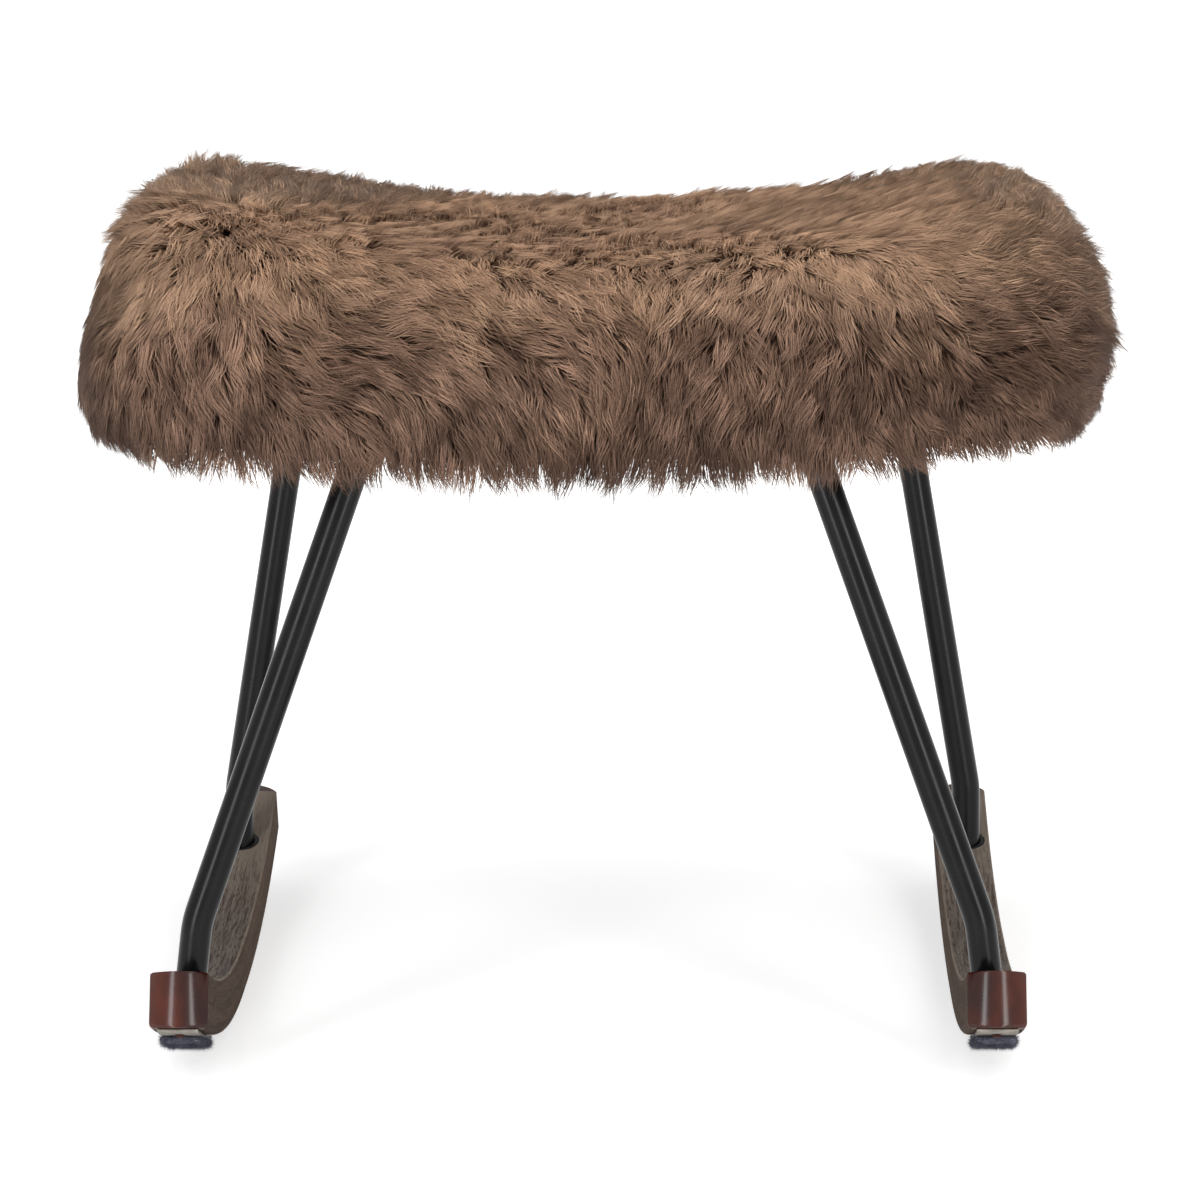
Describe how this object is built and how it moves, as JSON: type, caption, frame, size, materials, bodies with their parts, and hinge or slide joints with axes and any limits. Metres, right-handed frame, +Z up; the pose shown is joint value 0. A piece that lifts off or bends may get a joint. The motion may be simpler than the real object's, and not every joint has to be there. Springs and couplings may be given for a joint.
{
  "type": "rocking footstool",
  "caption": "Rocking footstool with a long-haired saddle seat on splayed bent steel legs and two curved wooden rockers.",
  "frame": {"origin": "on the floor, under the middle of the seat", "axes": "+Z up, +X to the right across the stool, +Y from the seat's higher front edge to its rear edge; the rockers run along Y"},
  "size_m": [0.532, 0.4095, 0.4516],
  "materials": {
    "faux_fur": "long taupe brown pile, matt",
    "foam": "upholstery foam",
    "dust_cloth": "black non-woven cloth",
    "felt": "grey-blue felt",
    "plywood": "raw birch plywood",
    "stained_wood": "walnut stain, lacquered round the noses",
    "black_steel": "satin black powder coat",
    "zinc_steel": "zinc plated",
    "black_plastic": "matt black",
    "pad_plate": "pale grey, matt"
  },
  "bodies": {
    "root": {"left_rocker": "stained_wood", "right_rocker": "stained_wood", "front_left_leg": "black_steel", "front_left_leg_bush": "black_plastic", "front_left_leg_insert": "zinc_steel", "front_left_leg_bolt": "zinc_steel", "front_left_pad_plate": "pad_plate", "front_left_felt_pad": "felt", "front_left_pad_screw": "zinc_steel", "front_right_leg": "black_steel", "front_right_leg_bush": "black_plastic", "front_right_leg_insert": "zinc_steel", "front_right_leg_bolt": "zinc_steel", "front_right_pad_plate": "pad_plate", "front_right_felt_pad": "felt", "front_right_pad_screw": "zinc_steel", "rear_left_leg": "black_steel", "rear_left_leg_bush": "black_plastic", "rear_left_leg_insert": "zinc_steel", "rear_left_leg_bolt": "zinc_steel", "rear_left_pad_plate": "pad_plate", "rear_left_felt_pad": "felt", "rear_left_pad_screw": "zinc_steel", "rear_right_leg": "black_steel", "rear_right_leg_bush": "black_plastic", "rear_right_leg_insert": "zinc_steel", "rear_right_leg_bolt": "zinc_steel", "rear_right_pad_plate": "pad_plate", "rear_right_felt_pad": "felt", "rear_right_pad_screw": "zinc_steel", "front_cross_bar": "black_steel", "front_bar_1_bolt": "zinc_steel", "front_bar_1_tee_nut": "zinc_steel", "front_bar_2_bolt": "zinc_steel", "front_bar_2_tee_nut": "zinc_steel", "front_bar_3_bolt": "zinc_steel", "front_bar_3_tee_nut": "zinc_steel", "front_bar_4_bolt": "zinc_steel", "front_bar_4_tee_nut": "zinc_steel", "rear_cross_bar": "black_steel", "rear_bar_1_bolt": "zinc_steel", "rear_bar_1_tee_nut": "zinc_steel", "rear_bar_2_bolt": "zinc_steel", "rear_bar_2_tee_nut": "zinc_steel", "rear_bar_3_bolt": "zinc_steel", "rear_bar_3_tee_nut": "zinc_steel", "rear_bar_4_bolt": "zinc_steel", "rear_bar_4_tee_nut": "zinc_steel", "seat_board": "plywood", "dust_cover": "dust_cloth", "foam_pad": "foam", "fur_cover": "faux_fur"}
  },
  "joints": []
}
